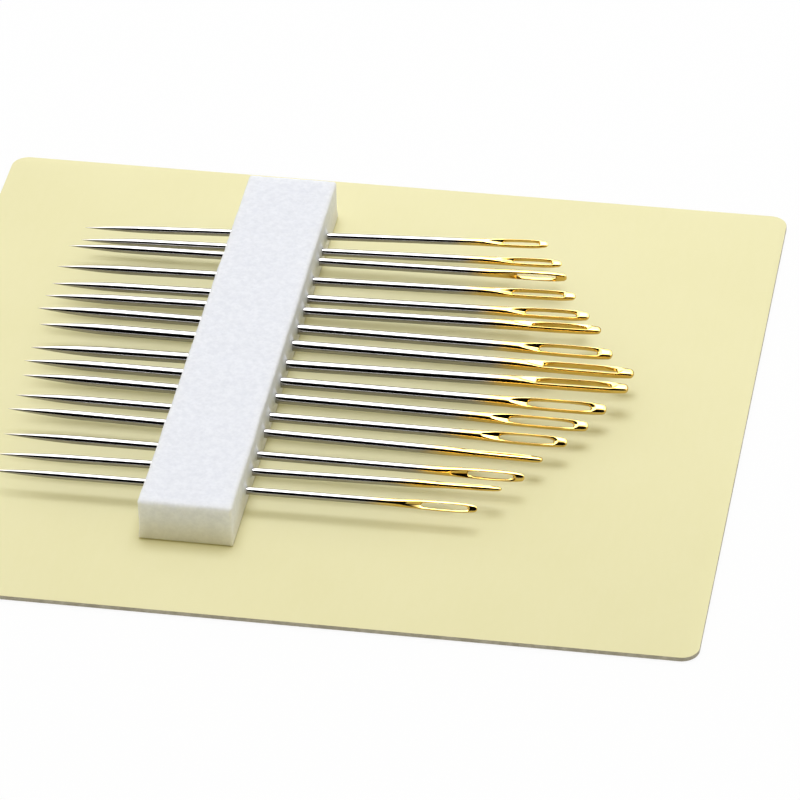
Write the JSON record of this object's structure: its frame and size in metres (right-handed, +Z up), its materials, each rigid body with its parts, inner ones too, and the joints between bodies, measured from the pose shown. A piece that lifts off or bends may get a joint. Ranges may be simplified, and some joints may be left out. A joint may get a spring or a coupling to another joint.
{
  "type": "embroidery needle card",
  "caption": "Graded gold-eyed embroidery needles pushed through a foam strip that is taped across a paperboard card; each needle slides out by its eye end.",
  "frame": {"origin": "middle of the card's underside", "axes": "+X along the needles from points to eyes, +Y along the foam strip, +Z up off the card"},
  "size_m": [0.0706, 0.0636, 0.0044],
  "materials": {
    "paperboard": "matte",
    "tape": "satin",
    "foam": "matte",
    "nickel_steel": "polished",
    "gold_plating": "polished"
  },
  "bodies": {
    "card": {"backing_card": "paperboard", "adhesive_tape": "tape", "foam_strip": "foam"},
    "needle_01": {"needle_01_shaft": "nickel_steel", "needle_01_eye": "gold_plating"},
    "needle_02": {"needle_02_shaft": "nickel_steel", "needle_02_eye": "gold_plating"},
    "needle_03": {"needle_03_shaft": "nickel_steel", "needle_03_eye": "gold_plating"},
    "needle_04": {"needle_04_shaft": "nickel_steel", "needle_04_eye": "gold_plating"},
    "needle_05": {"needle_05_shaft": "nickel_steel", "needle_05_eye": "gold_plating"},
    "needle_06": {"needle_06_shaft": "nickel_steel", "needle_06_eye": "gold_plating"},
    "needle_07": {"needle_07_shaft": "nickel_steel", "needle_07_eye": "gold_plating"},
    "needle_08": {"needle_08_shaft": "nickel_steel", "needle_08_eye": "gold_plating"},
    "needle_09": {"needle_09_shaft": "nickel_steel", "needle_09_eye": "gold_plating"},
    "needle_10": {"needle_10_shaft": "nickel_steel", "needle_10_eye": "gold_plating"},
    "needle_11": {"needle_11_shaft": "nickel_steel", "needle_11_eye": "gold_plating"},
    "needle_12": {"needle_12_shaft": "nickel_steel", "needle_12_eye": "gold_plating"},
    "needle_13": {"needle_13_shaft": "nickel_steel", "needle_13_eye": "gold_plating"},
    "needle_14": {"needle_14_shaft": "nickel_steel", "needle_14_eye": "gold_plating"},
    "needle_15": {"needle_15_shaft": "nickel_steel", "needle_15_eye": "gold_plating"},
    "needle_16": {"needle_16_shaft": "nickel_steel", "needle_16_eye": "gold_plating"}
  },
  "joints": [
    {"name": "needle_01_pull_out", "type": "slide", "parent": "card", "child": "needle_01", "axis": [0.9989, 0.0384, 0.0262], "range_m": [0, 0.0217]},
    {"name": "needle_02_pull_out", "type": "slide", "parent": "card", "child": "needle_02", "axis": [0.9995, 0.0227, 0.0209], "range_m": [0, 0.0216]},
    {"name": "needle_03_pull_out", "type": "slide", "parent": "card", "child": "needle_03", "axis": [0.9999, 0.0122, 0.0122], "range_m": [0, 0.0224]},
    {"name": "needle_04_pull_out", "type": "slide", "parent": "card", "child": "needle_04", "axis": [0.9997, 0.0175, 0.0157], "range_m": [0, 0.0227]},
    {"name": "needle_05_pull_out", "type": "slide", "parent": "card", "child": "needle_05", "axis": [0.9998, 0.0157, 0.014], "range_m": [0, 0.0226]},
    {"name": "needle_06_pull_out", "type": "slide", "parent": "card", "child": "needle_06", "axis": [0.9998, 0.014, 0.014], "range_m": [0, 0.0228]},
    {"name": "needle_07_pull_out", "type": "slide", "parent": "card", "child": "needle_07", "axis": [1, 0.0035, 0], "range_m": [0, 0.0229]},
    {"name": "needle_08_pull_out", "type": "slide", "parent": "card", "child": "needle_08", "axis": [1, 0, 0], "range_m": [0, 0.0222]},
    {"name": "needle_09_pull_out", "type": "slide", "parent": "card", "child": "needle_09", "axis": [0.9999, 0.0052, 0.014], "range_m": [0, 0.0223]},
    {"name": "needle_10_pull_out", "type": "slide", "parent": "card", "child": "needle_10", "axis": [1, 0, 0], "range_m": [0, 0.0223]},
    {"name": "needle_11_pull_out", "type": "slide", "parent": "card", "child": "needle_11", "axis": [1, -0.0052, -0.0035], "range_m": [0, 0.022]},
    {"name": "needle_12_pull_out", "type": "slide", "parent": "card", "child": "needle_12", "axis": [1, -0.0017, 0], "range_m": [0, 0.0219]},
    {"name": "needle_13_pull_out", "type": "slide", "parent": "card", "child": "needle_13", "axis": [0.9999, -0.0087, -0.0052], "range_m": [0, 0.0221]},
    {"name": "needle_14_pull_out", "type": "slide", "parent": "card", "child": "needle_14", "axis": [1, 0.0017, 0.0017], "range_m": [0, 0.0217]},
    {"name": "needle_15_pull_out", "type": "slide", "parent": "card", "child": "needle_15", "axis": [0.9998, 0.014, 0.0105], "range_m": [0, 0.0218]},
    {"name": "needle_16_pull_out", "type": "slide", "parent": "card", "child": "needle_16", "axis": [1, 0.0052, 0.0052], "range_m": [0, 0.0219]}
  ]
}
